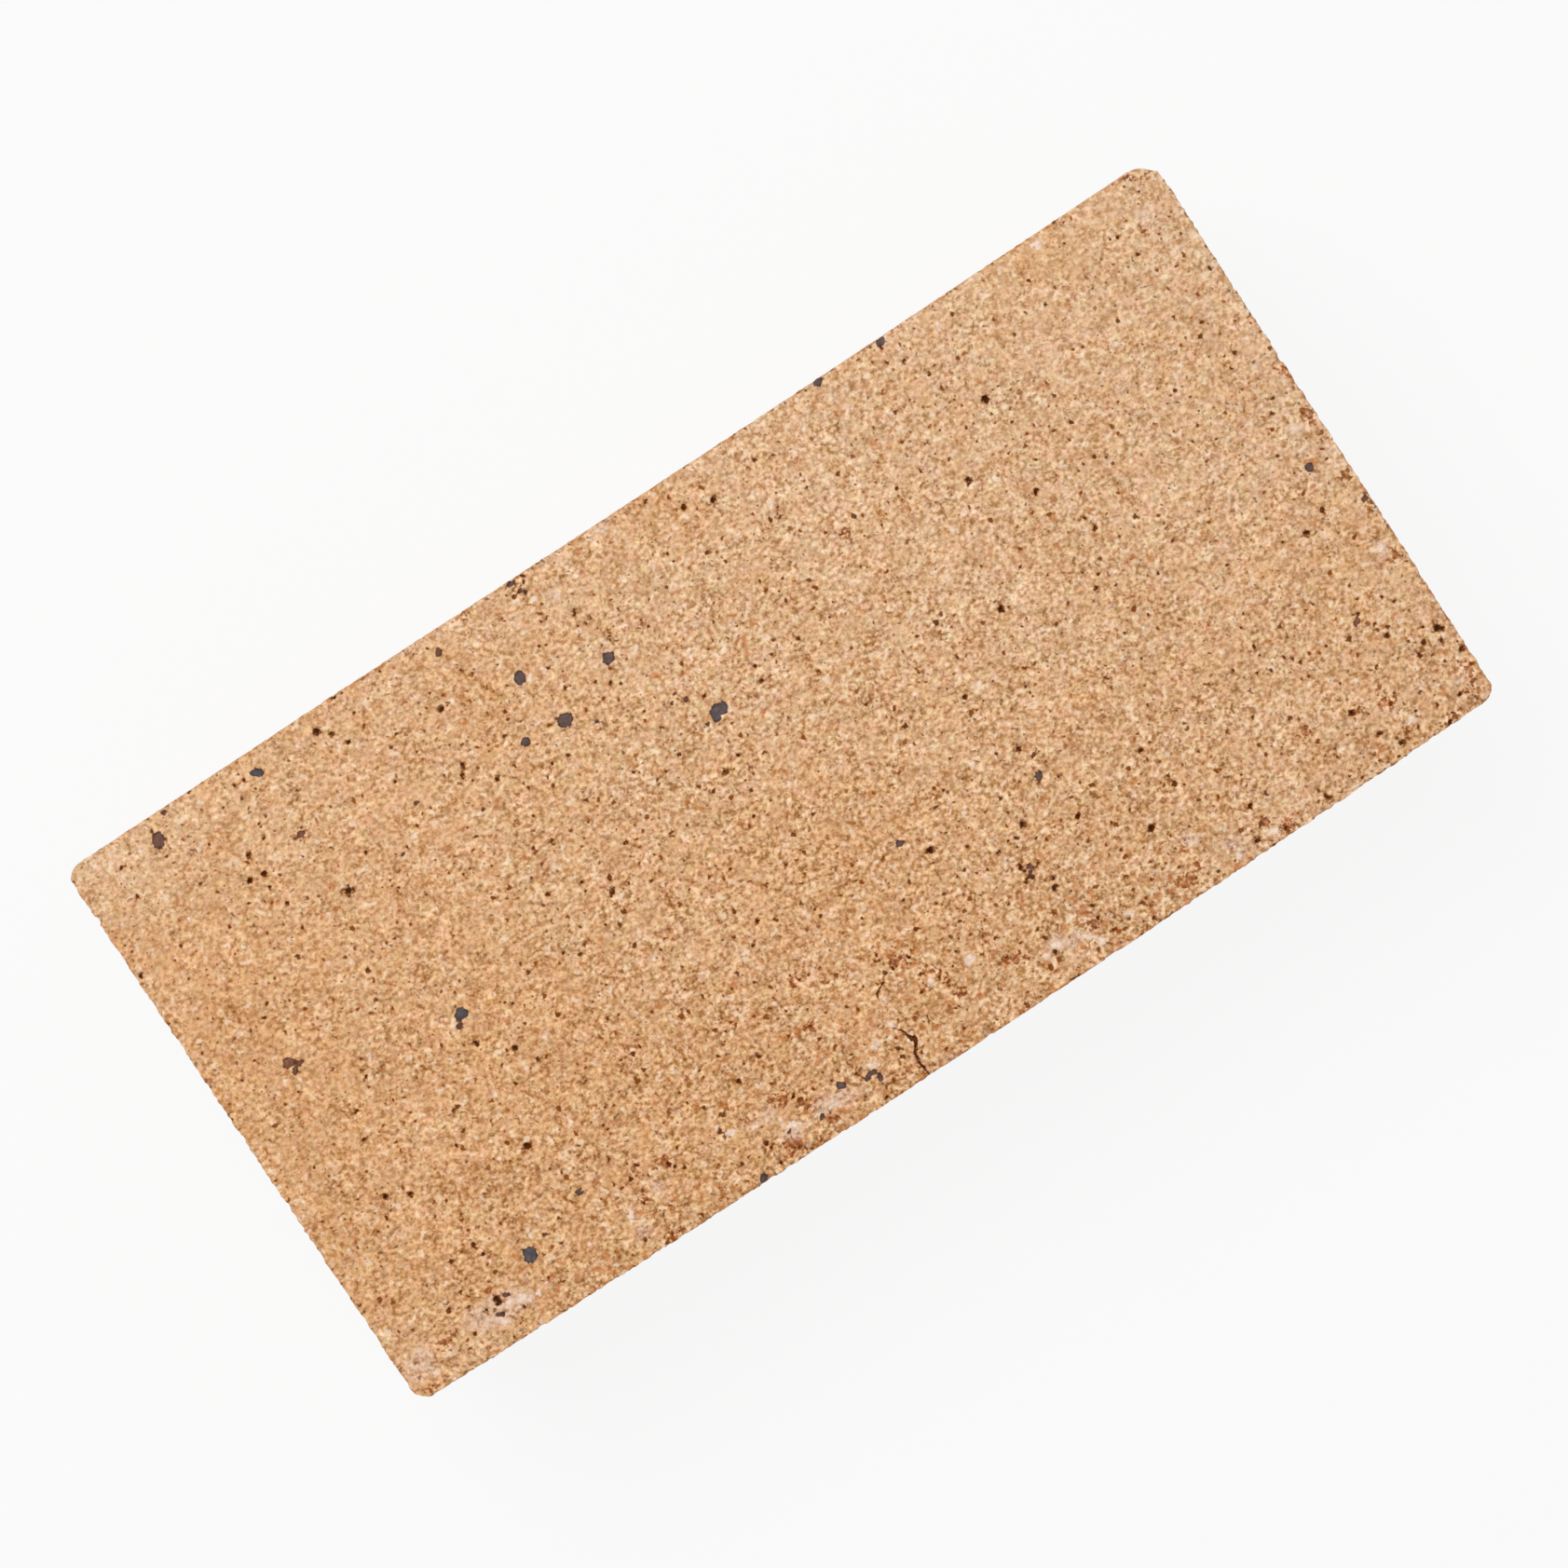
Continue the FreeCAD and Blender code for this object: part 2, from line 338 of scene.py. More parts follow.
def strewn(first, second, cell, spacing):
    """One point in each cell of a face. Cells wider than the spacing asked for are quartered."""
    counts = [max(1, round(2 * half[axis] / cell)) for axis in (first, second)]
    steps = np.array([2 * half[first] / counts[0], 2 * half[second] / counts[1]])
    grid = np.meshgrid(*(np.arange(count) + 0.5 for count in counts))
    cells = np.stack(grid, -1).reshape(-1, 2) * steps - half[[first, second]]
    kept = []
    while len(cells):
        split = spacing(cells) < split_below * steps.max()
        whole = cells[~split]
        kept.append(whole + (dice.random(whole.shape) - 0.5) * steps * stray_share)
        quarters = [cells[split] + steps * (a, b) for a in (-0.25, 0.25) for b in (-0.25, 0.25)]
        cells = np.concatenate(quarters)
        steps = steps / 2
    return np.concatenate(kept)


def face_mesh(axis, sign):
    """The points and triangles of one flat face of the block, before it is worn."""
    normal, first, second = face_axes[axis]
    cell = face_cells.get((axis, sign), side_cell)
    own = [flaw for flaw in flaws if abs(flaw.centre[normal] - sign * half[normal]) < flaw.radii.max()]

    def on_face(flat):
        points = np.zeros((len(flat), 3))
        points[:, normal] = sign * half[normal]
        points[:, [first, second]] = flat
        return points

    def spacing(flat):
        points = on_face(flat)
        edge = (half[[first, second]] - np.abs(flat)).min(1)
        wanted = np.where(edge < edge_band, cell / 2, cell)
        wanted[(edge < rim_band) & (half[2] - points[:, 2] < rim_band)] = cell / 4
        for flaw in own:
            gap = flaw_gap(points, flaw)
            wanted[gap < flaw_band] = np.minimum(wanted[gap < flaw_band], cell / 2)
            if (axis, sign) == shown_face and flaw.kind in ("slag", "pore", "salt"):
                on_rim = np.abs(gap) < flaw_rim
                wanted[on_rim] = np.minimum(wanted[on_rim], cell / 4)
        if (axis, sign) == shown_face:
            gap = crack_gap(points)
            wanted[gap < crack_band] = cell / 4
            wanted[gap < crack_rim] = cell / 8
        return wanted

    flat = [strewn(first, second, cell, spacing)]
    for run, end in ((first, second), (second, first)):
        for side in (-1, 1):
            upper = (axis, sign) == shown_face or (end, side) == shown_face
            count = round(2 * half[run] / (rim_step if upper else edge_step)) + 1
            border = np.zeros((count, 3))
            border[:, run] = np.linspace(-half[run], half[run], count)
            border[:, end] = side * half[end]
            flat.append(border[:, [first, second]])
    flat = np.unique(np.concatenate(flat).round(flat_digits), axis=0)
    spots = [Vector(spot) for spot in flat.tolist()]
    corners, _, triangles, *_ = delaunay_2d_cdt(spots, [], [], hull_triangles, touching)
    points = on_face(np.array([tuple(corner) for corner in corners]))
    return points, np.array(triangles)[:, ::sign]


def pulled_round(points):
    """Moves points of the sharp block onto the block with rounded upright corners and softened arrises."""
    size = np.abs(points)
    inner = half - arris_round
    over = np.maximum(size - inner, 0)
    outward = over[:, :2].max(1)
    arris = (outward > 0) & (over[:, 2] > 0)
    pull = arris_round / np.hypot(outward[arris], over[arris, 2])
    size[arris] = np.where(over[arris] > 0, inner + over[arris] * pull[:, None], size[arris])
    beyond = size[:, :2] - (half[:2] - corner_round)
    corner = (beyond > 0).all(1)
    squeeze = beyond[corner].max(1) / np.linalg.norm(beyond[corner], axis=1)
    size[corner, :2] = (half[:2] - corner_round) + beyond[corner] * squeeze[:, None]
    return np.copysign(size, points)


sheets = [face_mesh(axis, sign) for axis in range(3) for sign in (-1, 1)]
first_points = np.cumsum([0] + [len(points) for points, _ in sheets])
all_points = np.concatenate([points for points, _ in sheets]).round(weld_digits)
all_triangles = np.concatenate([triangles + start for (_, triangles), start in zip(sheets, first_points)])
sharp, welded = np.unique(all_points, axis=0, return_inverse=True)
triangles = welded.reshape(-1)[all_triangles]
body = pulled_round(sharp)

brick_mesh = bpy.data.meshes.new("firebrick_body")
brick_mesh.from_pydata((body + middle) * mm, [], triangles.tolist())
brick_mesh.update()

# The six faces laid out side by side on one square sheet, for a viewer that needs the finish as a picture
sheet_gap = 4.0
long_side, broad_side, high_side = 2 * half + sheet_gap
sheet_size = long_side + 2 * high_side
face_spots = (
    (0, 2 * broad_side),
    (broad_side, 2 * broad_side),
    (long_side, 0),
    (long_side + high_side, 0),
    (0, broad_side),
    (0, 0),
)
laid_out = []
for face, (points, corners) in enumerate(sheets):
    normal, first, second = face_axes[face // 2]
    flat = points[corners][..., [first, second]] + half[[first, second]]
    laid_out.append((flat + sheet_gap / 2 + face_spots[face]) / sheet_size)
sheet_map = brick_mesh.uv_layers.new(name="OFBake")
sheet_map.uv.foreach_set("vector", np.concatenate(laid_out).astype(np.float32).ravel())

# Wear and fabric: the pressed faces wave a little, grains stand proud by a hair, the arrises have crumbled,
# four corners are knocked off, and pores and cracks go down into the body.
normals = np.empty(len(sharp) * 3, np.float32)
brick_mesh.vertex_normals.foreach_get("vector", normals)
normals = normals.reshape(-1, 3).astype(float)
from_faces = half - np.abs(sharp)
edge_away = np.sort(from_faces, axis=1)[:, 1]

wave_depth = 0.16
wave_width = 34.0
grain_depth = 0.12
grain_width = 1.6
sand_depth = 0.05
sunk = wave_depth * half_cloud(body, wave_width, seed=1)
sunk += grain_depth * half_cloud(body, grain_width, seed=2)
sunk += sand_depth * dice.random(len(sharp))

# Crumbs break away in flutes that run in from the edge, so the outline is ragged and not only the surface
flute_blend = 3.0
flute_run = 0.22
upright = np.clip(0.5 + (from_faces[:, 2] - from_faces[:, :2].max(1)) / flute_blend, 0, 1)
level_flutes = body * (1, 1, flute_run)
upright_flutes = body * (flute_run, flute_run, 1)


def fluted(patch, seed):
    """Random values that vary along the nearest edge and hardly across it."""
    return (1 - upright) * cloud(level_flutes, patch, seed) + upright * cloud(upright_flutes, patch, seed)


crumb_depth = 0.29
crumb_reach = 2.0
crumb_width = 0.8
clump_width = 2.0
crumble_most = 1.8
crumble = np.clip(0.5 + fluted(crumb_width, seed=3) + 0.5 * fluted(clump_width, seed=4), 0, crumble_most)
sunk += crumb_depth * crumble * np.exp(-((edge_away / crumb_reach) ** 2))

chip_depth = 0.8
chip_reach = 1.8
chip_width = 2.9
chip_start = 0.40
chip_slope = 0.25
chips = np.clip(fluted(chip_width, seed=5) - chip_start, 0, chip_slope) / chip_slope
sunk += chip_depth * chips * np.exp(-((edge_away / chip_reach) ** 2))

# Each point's distance from the nearest flaw of each kind, with ragged outlines, and the holes of the pores
finder = KDTree(len(body))
for index, point in enumerate(body.tolist()):
    finder.insert(point, index)
finder.balance()
flaw_reach = 3.0
gaps = {kind: np.full(len(body), flaw_reach) for kind in ("slag", "pore", "rust", "bloom", "salt")}
slag_tone = np.zeros(len(body))
wobble_width = 1.1
wobble_size = 0.26
pore_wobble = 0.6
pore_depth = 1.5
pore_steepness = 0.7
wobble = np.stack([cloud(body, wobble_width, seed) for seed in (6, 7, 8)], 1) * wobble_size
for flaw in flaws:
    near = np.array([index for _, index, _ in finder.find_range(flaw.centre, flaw.radii.max() + flaw_reach)])
    raggedness = pore_wobble if flaw.kind == "pore" else 1
    gap = flaw_gap(body[near] + wobble[near] * raggedness, flaw)
    closer = gap < gaps[flaw.kind][near]
    gaps[flaw.kind][near[closer]] = gap[closer]
    if flaw.kind == "slag":
        slag_tone[near[closer]] = flaw.tone
    if flaw.kind == "pore":
        hole = np.clip(-gap / flaw.radii[0], 0, 1)
        sunk[near] += pore_depth * flaw.radii[0] * hole ** pore_steepness

crack_away = crack_gap(body)
crack_depth = 0.8
crack_slope = 0.30
sunk += crack_depth * np.clip(-crack_away / crack_slope, 0, 1)
worn = body - normals * sunk[:, None]
worn += drying_shift(worn)

# Knocked corners: which corner, the direction its break faces, and how far it cuts back from the sharp one
broken_corners = (
    ((1, 1, 1), (0.60, 0.78, 0.12), 2.9),
    ((-1, -1, 1), (-0.60, -0.74, 0.30), 2.6),
    ((1, -1, -1), (0.66, -0.66, -0.36), 3.4),
    ((-1, 1, -1), (-0.75, 0.55, -0.36), 2.8),
)
break_softness = 0.35
break_roughness = 0.35
break_grain = 2.0
break_zone = 40.0
for corner, direction, cut in broken_corners:
    facing = np.array(direction) / np.linalg.norm(direction)
    over = (worn - half * corner) @ facing + cut + break_roughness * cloud(worn, break_grain, seed=9)
    over = (over + np.hypot(over, break_softness)) / 2
    near = np.linalg.norm(worn - half * corner, axis=1) < break_zone
    worn[near] -= over[near, None] * facing

worn = np.clip(worn, -half, half)
brick_mesh.vertices.foreach_set("co", ((worn + middle) * mm).ravel())
brick_mesh.update()
brick_mesh.shade_smooth()

# Mottles of the clay on the upper face: along, across, reach, and how much paler (or warmer, below zero)
mottles = (
    (8.0, 56.0, 11.0, -0.60), (87.0, 53.0, 10.0, -0.60), (-37.0, 43.0, 10.0, -0.45),
    (106.0, -18.0, 8.0, -0.42), (53.0, -16.0, 8.0, -0.40), (102.0, 14.0, 7.0, -0.30),
    (-104.0, 57.0, 13.0, 0.75), (-114.0, -44.0, 10.0, 0.60), (-100.0, -56.0, 9.0, 0.70),
    (-114.0, 26.0, 8.0, 0.35), (-17.0, 12.0, 7.0, 0.30),
)

# What the finish needs to know of each point: its distance in millimetres from each kind of flaw and from an
# edge, how the clay drifts from brown to pale and from clean to ochre, how it pales towards the right end and
# grows lighter towards the back, there partly paler clay and partly painted light from the lamp above the
# back,
# and how coarse it is: the coarser grog gathered in the middle of the front.
middle_paleness = 0.41
right_paleness = 0.44
ends_warmth = 0.11
# Lighter towards the back: partly the clay's own paleness, partly painted light standing for the lamp above
# the back.
back_paleness_and_light = 0.285
paleness_cloud = 0.20
paleness_width = 28.0
middle_coarseness = 0.93
ends_fineness = 0.16
back_fineness = 0.12
coarseness_cloud = 0.48
coarseness_width = 4.5
tone_width = 11.0
ochre_width = 8.0
front_ochre = 0.45
front_ochre_from = 0.4
along, across = (body[:, :2] / half[:2]).T
paleness = middle_paleness + right_paleness * along - ends_warmth * along ** 2 + back_paleness_and_light * across
for x, y, reach, change in mottles:
    away = np.linalg.norm(body[:, :2] - as_pressed((x, y)), axis=1)
    paleness += change * np.exp(-((away / reach) ** 2)) * (body[:, 2] > 0)
coarseness = middle_coarseness - ends_fineness * along ** 2 - back_fineness * across
ochre_band = 1 - front_ochre_from
front_share = np.clip(-front_ochre_from - across, 0, ochre_band) / ochre_band * (1 - along ** 2)
knowledge = {
    **gaps,
    "slag_tone": slag_tone,
    "crack": crack_away,
    "edge": edge_away,
    "tone_drift": half_cloud(body, tone_width, seed=13),
    "ochre_drift": half_cloud(body, ochre_width, seed=14) + front_ochre * front_share,
    "paleness": np.clip(paleness + paleness_cloud * cloud(body, paleness_width, seed=15), 0, 1),
    "coarseness": coarseness * (1 + coarseness_cloud * cloud(body, coarseness_width, seed=16)),
}
for name, values in knowledge.items():
    brick_mesh.attributes.new(name, "FLOAT", "POINT").data.foreach_set("value", values.astype(np.float32))

# The finish: unglazed burnt clay, dull all over, a tan ground packed with cream and brown grains.
# Patches, distances and reaches are in millimetres, and a tint is what the colour under it is multiplied by.
clay = bpy.data.materials.new("burnt_fireclay")


def cleared_nodes(owner):
    """The empty node tree of a material or of the room."""
    owner.use_nodes = True
    owner.node_tree.nodes.clear()
    return owner.node_tree


def seen_colour(red, green, blue):
    """A colour as it is read off a screen, from 0 to 255, as the linear light that Blender mixes."""
    shares = np.array([red, green, blue]) / 255
    light = np.where(shares > 0.04045, ((shares + 0.055) / 1.055) ** 2.4, shares / 12.92)
    return (*light.tolist(), 1.0)


def add(kind, inputs, **settings):
    """Adds a node to the tree at hand, with its settings, and sets or links its inputs."""
    node = tree.nodes.new(kind)
    for name, value in settings.items():
        setattr(node, name, value)
    for socket, value in inputs.items():
        if isinstance(value, bpy.types.NodeSocket):
            tree.links.new(value, node.inputs[socket])
        else:
            node.inputs[socket].default_value = value
    return node


def maths(operation, first, second=0.0, third=0.0):
    return add("ShaderNodeMath", {0: first, 1: second, 2: third}, operation=operation).outputs[0]


def ramped(value, span, to=(0.0, 1.0)):
    """Runs smoothly from one value to another while the input crosses a span, and stays there."""
    inputs = {"Value": value, "From Min": span[0], "From Max": span[1], "To Min": to[0], "To Max": to[1]}
    return add("ShaderNodeMapRange", inputs, interpolation_type="SMOOTHSTEP").outputs["Result"]


def mixed(share, under, over, how="MIX"):
    return add("ShaderNodeMix", {0: share, 6: under, 7: over}, data_type="RGBA", blend_type=how).outputs[2]


def tinted(share, under, tint):
    return mixed(share, under, tint, "MULTIPLY")


def known(name):
    """What the mesh knows of the point under that name."""
    return add("ShaderNodeAttribute", {}, attribute_name=name, attribute_type="GEOMETRY").outputs["Fac"]


tree = cleared_nodes(clay)
in_metres = add("ShaderNodeTexCoord", {}).outputs["Object"]
in_millimetres = add("ShaderNodeVectorMath", {0: in_metres, "Scale": 1 / mm}, operation="SCALE").outputs[0]
askew = (0.6, 0.9, 0.4)


def patches(width, detail, rough, shift):
    """Soft random patches of about the given width, askew to the block so that no rows show."""
    moved = add("ShaderNodeMapping", {"Vector": in_millimetres, "Location": shift, "Rotation": askew})
    inputs = {"Vector": moved.outputs[0], "Scale": 1 / width, "Detail": detail, "Roughness": rough}
    return add("ShaderNodeTexNoise", inputs).outputs["Fac"]


def weighed(base, *parts):
    """Adds random values of about a half, each by its weight, to a base value."""
    total = base - 0.5 * sum(weight for _, weight in parts)
    for value, weight in parts:
        total = maths("MULTIPLY_ADD", value, weight, total)
    return total


# The ground: fine sand and coarser grog, from brown to cream, warmer or paler as the clay drifts
ground_base = 0.53
sand_weight = 0.64
grog_weight = 1.30
drift_weight = 0.10
sand_span = (0.33, 0.67)
ground_stops = (
    (0.00, (152, 99, 54)),
    (0.25, (189, 141, 97)),
    (0.50, (216, 171, 130)),
    (0.75, (235, 192, 150)),
    (1.00, (253, 218, 181)),
)
warm_tint = (0.960, 0.885, 0.79, 1)
pale_tint = (1.02, 1.085, 1.17, 1)
sand = patches(width=0.85, detail=1.5, rough=0.7, shift=(3.0, 7.0, 1.0))
grog = patches(width=2.4, detail=2.0, rough=1.0, shift=(40.0, 13.0, 8.0))
grain = weighed(0.0, (ramped(sand, sand_span), sand_weight), (grog, grog_weight))
ground_drift = weighed(ground_base, (known("tone_drift"), drift_weight))
ground = add("ShaderNodeValToRGB", {"Fac": maths("MULTIPLY_ADD", grain, known("coarseness"), ground_drift)})
stops = ground.color_ramp.elements
while len(stops) < len(ground_stops):
    stops.new(position=0.5)
for stop, (position, shade) in zip(stops, ground_stops):
    stop.position = position
    stop.color = seen_colour(*shade)
colour = tinted(1.0, ground.outputs["Color"], mixed(known("paleness"), warm_tint, pale_tint))

# The clay's hue wanders a little, from orange to grey and from straw to rosy
hue_weight = 2.9
hue_drift_weight = 0.70
rosy_weight = 2.8
orange_tint = (1.01, 0.96, 0.915, 1)
grey_tint = (0.99, 1.035, 1.07, 1)
straw_tint = (1.0, 1.022, 0.96, 1)
rosy_tint = (1.0, 0.978, 1.035, 1)
hue_patches = patches(width=2.8, detail=1.0, rough=0.6, shift=(2.0, 31.0, 12.0))
hue = weighed(0.5, (hue_patches, hue_weight), (known("ochre_drift"), hue_drift_weight))
colour = tinted(1.0, colour, mixed(hue, orange_tint, grey_tint))
rosy_patches = patches(width=2.4, detail=1.0, rough=0.6, shift=(51.0, 6.0, 22.0))
rosy = weighed(0.5, (rosy_patches, rosy_weight))
colour = tinted(1.0, colour, mixed(rosy, straw_tint, rosy_tint))

# Flecks of ochre, thicker at the worn rim, and of pale grog
rim_span = (1.4, 0.2)
ochre_drift_weight = 0.26
ochre_rim_weight = 0.13
ochre_span = (0.625, 0.745)
ochre_cover = 0.58
ochre_colour = seen_colour(192, 112, 54)
pale_grog_weight = 0.5
pale_grog_span = (0.66, 0.78)
pale_grog_cover = 0.50
pale_grog_colour = seen_colour(248, 226, 202)
worn_rim = ramped(known("edge"), rim_span)
flecks = patches(width=1.4, detail=0.5, rough=0.5, shift=(21.0, 3.0, 17.0))
ochre = weighed(0.5, (flecks, 1.0), (known("ochre_drift"), ochre_drift_weight), (worn_rim, ochre_rim_weight))
colour = mixed(ramped(ochre, ochre_span, (0.0, ochre_cover)), colour, ochre_colour)
pale_grog = weighed(0.5, (flecks, -1.0), (grog, pale_grog_weight))
colour = mixed(ramped(pale_grog, pale_grog_span, (0.0, pale_grog_cover)), colour, pale_grog_colour)

# Grit: weak small specks everywhere, redder where the clay is orange
grit_base = 0.475
grit_drift_weight = 0.07
grit_rim_weight = 0.10
grit_sand_weight = 0.2
grit_span = (0.64, 0.76)
grit_cover = 0.70
grit_hue_span = (0.25, 0.60)
red_grit = seen_colour(144, 66, 14)
brown_grit = seen_colour(92, 44, 6)
specks = patches(width=0.75, detail=0.0, rough=0.5, shift=(5.0, 9.0, 2.0))
grit_parts = (
    (specks, 1.0),
    (known("ochre_drift"), grit_drift_weight),
    (worn_rim, grit_rim_weight),
    (sand, grit_sand_weight),
)
grit = ramped(weighed(grit_base, *grit_parts), grit_span, (0.0, grit_cover))
colour = mixed(grit, colour, mixed(ramped(hue, grit_hue_span), red_grit, brown_grit))

# The mouths of fine pores, which have no hole in the mesh: round dots here and there, painted dark brown as
# the shade inside them, each in a brown halo
dot_spacing = 1.8
largest_dot = 0.50
dot_rarity = 2.0
dot_raggedness = 1.2
dot_halo_span = (0.24, -0.04)
dot_halo_cover = 0.6
dot_span = (0.06, -0.08)
dot_cover = 0.86
dot_shade_span = (0.2, 0.8)
halo_tint = (0.72, 0.54, 0.36, 1)
dark_dot_shade = seen_colour(78, 34, 6)
brown_dot = seen_colour(130, 64, 10)
dots = add("ShaderNodeTexVoronoi", {"Vector": in_millimetres, "Scale": 1 / dot_spacing})
dot_chance, dot_shade, _ = add("ShaderNodeSeparateColor", {0: dots.outputs["Color"]}).outputs
dot_most = maths("MULTIPLY", known("coarseness"), largest_dot)
dot_radius = maths("MULTIPLY", maths("POWER", dot_chance, dot_rarity), dot_most)
dot_away = maths("SUBTRACT", maths("MULTIPLY", dots.outputs["Distance"], dot_spacing), dot_radius)
dot_edge = weighed(0.0, (sand, dot_raggedness), (maths("ADD", dot_away, 0.5), 1.0))
colour = tinted(ramped(dot_edge, dot_halo_span, (0.0, dot_halo_cover)), colour, halo_tint)
dot_colour_and_shade = mixed(ramped(dot_shade, dot_shade_span), dark_dot_shade, brown_dot)
colour = mixed(ramped(dot_edge, dot_span, (0.0, dot_cover)), colour, dot_colour_and_shade)

# Stains in the ground: rust and the veil of salt tint its grains, and caked salt covers them
sand_gain = 8


def flaw_cover(name, raggedness, soft_edge, swell=0.0):
    """1 inside a kind of flaw and 0 outside it, over a ragged edge that may lie a little further out."""
    away = maths("ADD", known(name), weighed(0.0, (sand, sand_gain * raggedness)))
    return ramped(away, (swell + soft_edge, swell - soft_edge))


rust_cover = 0.95
rust_grain_span = (0.40, 0.60)
dark_rust_tint = (0.42, 0.24, 0.16, 1)
pale_rust_tint = (0.76, 0.52, 0.36, 1)
rust = maths("MULTIPLY", flaw_cover("rust", raggedness=0.50, soft_edge=0.30, swell=0.12), rust_cover)
colour = tinted(rust, colour, mixed(ramped(specks, rust_grain_span), dark_rust_tint, pale_rust_tint))
veil_grain_span = (0.36, 0.64)
veil_cover = (0.12, 0.68)
veil_colour = seen_colour(228, 199, 180)
bloom = flaw_cover("bloom", raggedness=0.50, soft_edge=0.60, swell=0.35)
colour = mixed(maths("MULTIPLY", bloom, ramped(sand, veil_grain_span, veil_cover)), colour, veil_colour)
salt_cover = 0.80
salt_colour = seen_colour(248, 224, 206)
salt = flaw_cover("salt", raggedness=0.38, soft_edge=0.25)
colour = mixed(maths("MULTIPLY", salt, salt_cover), colour, salt_colour)

# Open pores: a brown halo, and a mouth painted dark as the shade in the hole, darker with its depth
pore_cover = 0.94
pore_shade_span = (-0.22, -0.48)
pore_wall_shade = seen_colour(80, 36, 10)
pore_floor_shade = seen_colour(50, 20, 6)
colour = tinted(flaw_cover("pore", raggedness=0.14, soft_edge=0.25, swell=0.08), colour, halo_tint)
pore = flaw_cover("pore", raggedness=0.14, soft_edge=0.16, swell=-0.09)
pore_colour_and_shade = mixed(ramped(known("pore"), pore_shade_span), pore_wall_shade, pore_floor_shade)
colour = mixed(maths("MULTIPLY", pore, pore_cover), colour, pore_colour_and_shade)

# Cracks: brown lips, a dark line between them painted as the shade in the crack, and bare clay at the floor
# where the crack gapes
crack_raggedness = 0.9
crack_span = (0.17, -0.06)
crack_cover = 0.92
crack_shade_span = (0.05, -0.20)
crack_floor_span = (-0.25, -0.45)
crack_lip = seen_colour(122, 58, 14)
crack_shade_line = seen_colour(78, 24, 0)
crack_floor = seen_colour(118, 58, 26)
crack_edge = maths("ADD", known("crack"), weighed(0.0, (sand, crack_raggedness)))
crack_colour_and_shade = mixed(ramped(crack_edge, crack_shade_span), crack_lip, crack_shade_line)
crack_colour_and_shade = mixed(ramped(known("crack"), crack_floor_span), crack_colour_and_shade, crack_floor)
colour = mixed(maths("MULTIPLY", ramped(crack_edge, crack_span), crack_cover), colour, crack_colour_and_shade)

# Slag: slate grey to brown, with paler blotches and a dark rim
slag_blotch_span = (0.50, 0.62)
slag_blotch_cover = 0.6
slag_rim_span = (-0.40, -0.05)
slag_rim_cover = 0.85
slate_slag = seen_colour(83, 76, 78)
brown_slag = seen_colour(122, 80, 57)
slag_blotch_tint = (1.62, 1.54, 1.54, 1)
slag_rim_tint = (0.44, 0.34, 0.30, 1)
slag = flaw_cover("slag", raggedness=0.11, soft_edge=0.12)
slag_colour = mixed(known("slag_tone"), slate_slag, brown_slag)
slag_colour = tinted(ramped(grog, slag_blotch_span, (0.0, slag_blotch_cover)), slag_colour, slag_blotch_tint)
slag_colour = tinted(ramped(known("slag"), slag_rim_span, (0.0, slag_rim_cover)), slag_colour, slag_rim_tint)
colour = mixed(slag, colour, slag_colour)

# The relief that is too fine for the mesh: sand grains stand up. The slag has melted smoother than the clay.
relief_depth = 0.46
clay_roughness = 0.95
slag_roughness = 0.55
dull_gloss = 0.09
relief_grains = patches(width=0.8, detail=0.0, rough=0.5, shift=(8.0, 2.0, 5.0))
relief_height = maths("MULTIPLY", relief_grains, relief_depth)
relief = add("ShaderNodeBump", {"Height": relief_height, "Distance": mm, "Strength": 1.0}).outputs["Normal"]
roughness = ramped(slag, (0.0, 1.0), (clay_roughness, slag_roughness))
skin = {"Base Color": colour, "Normal": relief, "Roughness": roughness, "Specular IOR Level": dull_gloss}
surface = add("ShaderNodeBsdfPrincipled", skin)
add("ShaderNodeOutputMaterial", {"Surface": surface.outputs[0]})

brick = bpy.data.objects.new("firebrick_body", brick_mesh)
bpy.context.scene.collection.objects.link(brick)
brick_mesh.materials.append(clay)
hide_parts("firebrick")
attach(brick, "root")

# The floor: a wide pale table top that the brick lies on.
# It shows as an even near-white, with a little of the brick's soft shadow left on it.
floor_reach = 3.0
floor_corners = [(x * floor_reach, y * floor_reach, 0) for x, y in ((-1, -1), (1, -1), (1, 1), (-1, 1))]
floor_mesh = bpy.data.meshes.new("floor")
floor_mesh.from_pydata(floor_corners, [], [(0, 1, 2, 3)])
floor = bpy.data.objects.new("floor", floor_mesh)
bpy.context.scene.collection.objects.link(floor)
white = 0.956
shadow_kept = 0.07
paper = bpy.data.materials.new("pale_floor")
tree = cleared_nodes(paper)


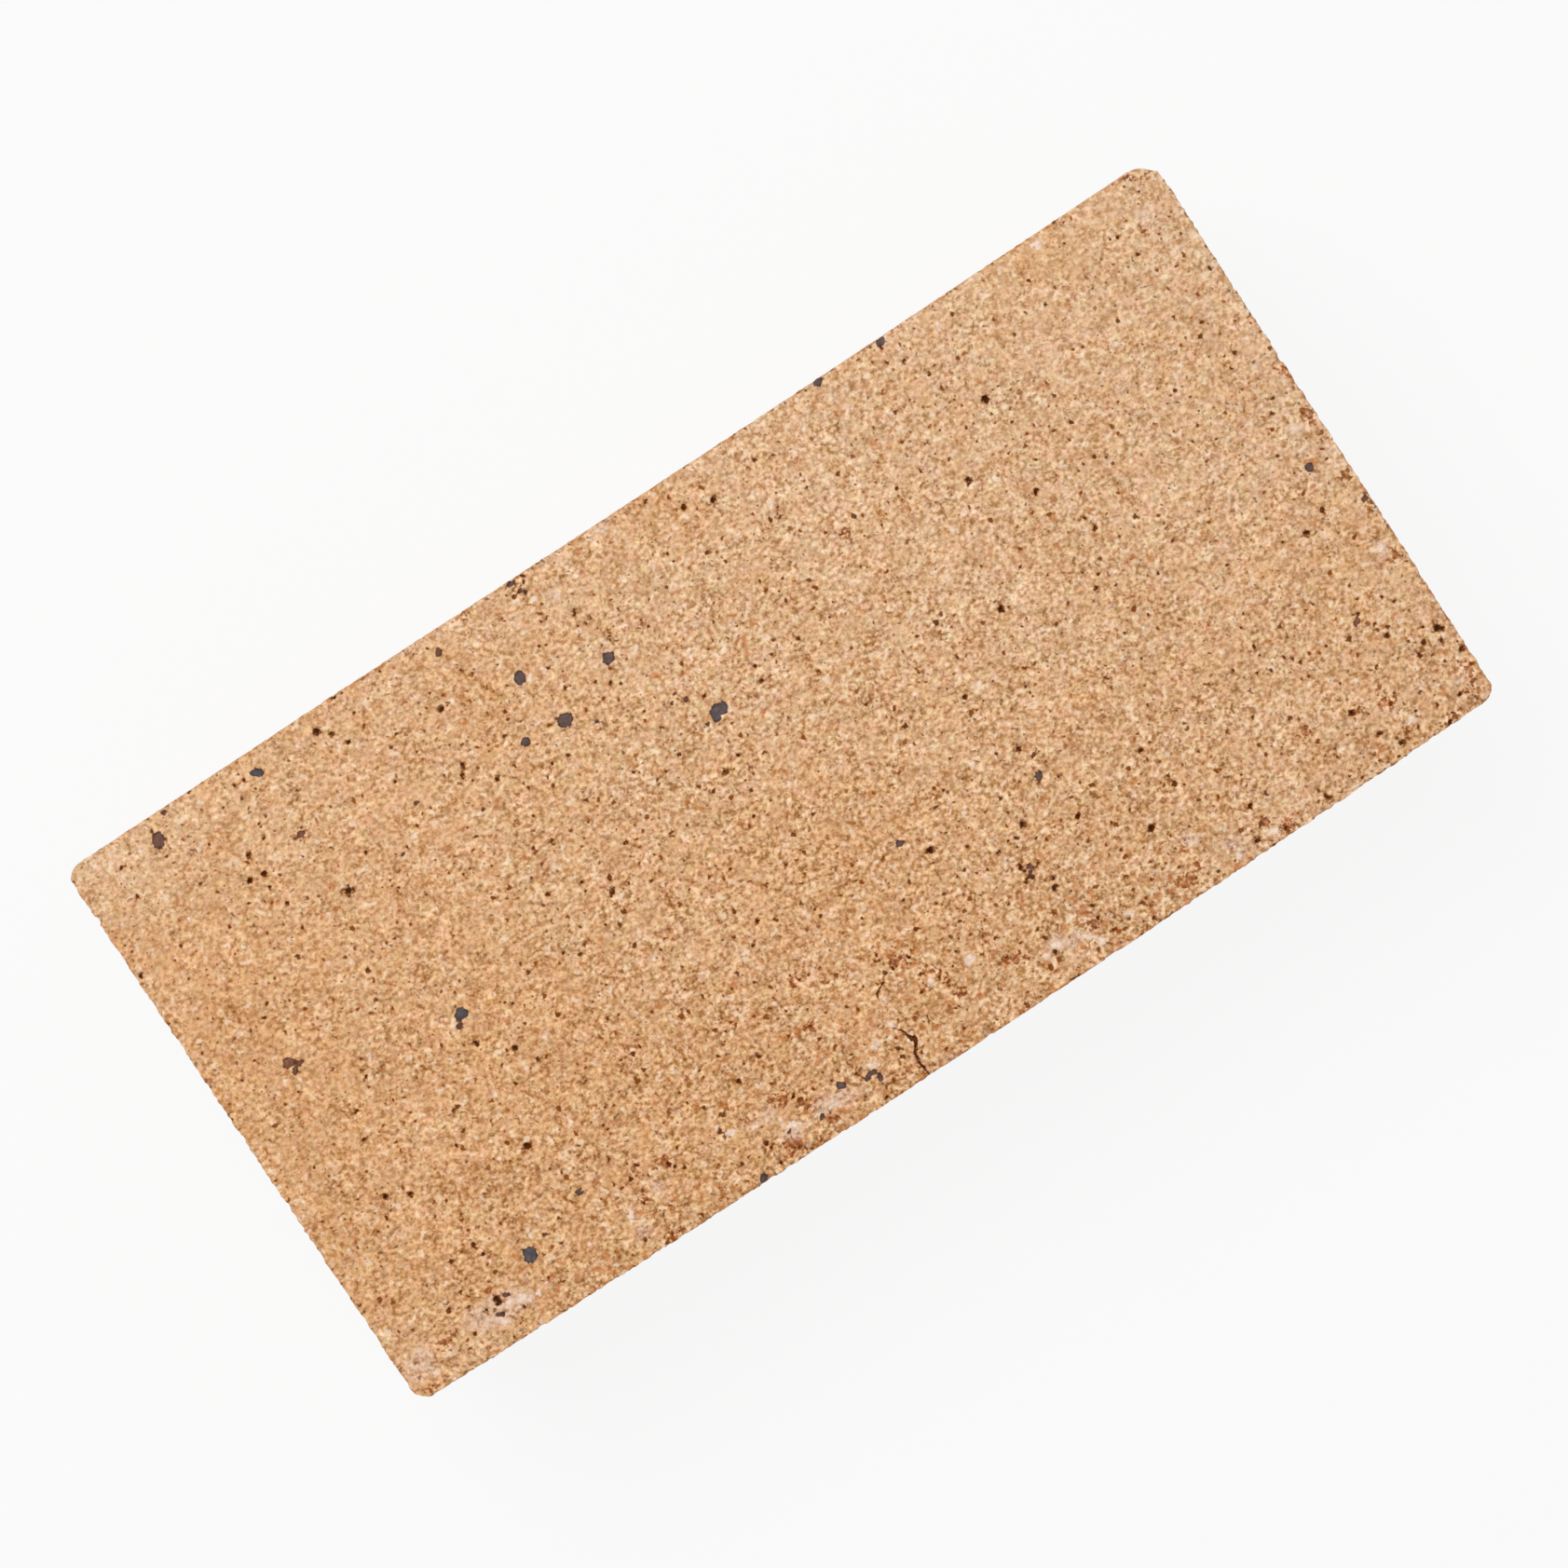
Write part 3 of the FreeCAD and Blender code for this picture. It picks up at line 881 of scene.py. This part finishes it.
def straight_look():
    """1 for what the camera sees, also in a mirror or through glass, and 0 for light that falls on things."""
    rays = add("ShaderNodeLightPath", {})
    either = maths("MAXIMUM", rays.outputs["Is Camera Ray"], rays.outputs["Is Glossy Ray"])
    return maths("MAXIMUM", either, rays.outputs["Is Transmission Ray"])


dull = add("ShaderNodeBsdfDiffuse", {"Color": (white, white, white, 1)})
glow = add("ShaderNodeEmission", {"Color": (white, white, white, 1), "Strength": 1.0})
glow_share = maths("MULTIPLY", straight_look(), 1 - shadow_kept)
both = add("ShaderNodeMixShader", {0: glow_share, 1: dull.outputs[0], 2: glow.outputs[0]})
add("ShaderNodeOutputMaterial", {"Surface": both.outputs[0]})
floor_mesh.materials.append(paper)

# The light: an even pale room, and one large soft lamp above the back of the brick.
# The room lights things by less than the white that the camera sees.
scene = bpy.context.scene
scene.view_settings.view_transform = "Standard"
room_light = 0.52
room = bpy.data.worlds.new("pale_room")
scene.world = room
tree = cleared_nodes(room)
strength = ramped(straight_look(), (0.0, 1.0), (room_light, white))
even = add("ShaderNodeBackground", {"Color": (1, 1, 1, 1), "Strength": strength})
add("ShaderNodeOutputWorld", {"Surface": even.outputs[0]})

lamp_light = bpy.data.lights.new("soft_lamp", "AREA")
lamp_light.shape = "DISK"
lamp_light.size = 0.9
lamp_light.energy = 12.15
lamp = bpy.data.objects.new("soft_lamp", lamp_light)
lamp.location = (-0.22, 0.68, 1.22)
lamp.rotation_euler = (-lamp.location).to_track_quat("-Z", "Y").to_euler()
scene.collection.objects.link(lamp)

# The camera: a long lens almost straight above the brick, a little towards its back long side,
# turned so that the brick's length runs up to the right.
lens = bpy.data.cameras.new("camera")
lens.lens = 100.0
lens.sensor_width = 36.0
camera = bpy.data.objects.new("camera", lens)
eye = Vector((-3.97, 36.09, 830.3)) * mm
aim = Vector((-0.21, 0.28, 64.0)) * mm
turned = math.radians(33.42)
look = (aim - eye).normalized()
right = Vector((math.cos(turned), -math.sin(turned), 0))
right = (right - right.dot(look) * look).normalized()
upward = right.cross(look)
camera.matrix_world = Matrix.Translation(eye) @ Matrix((right, upward, -look)).transposed().to_4x4()
scene.collection.objects.link(camera)
scene.camera = camera
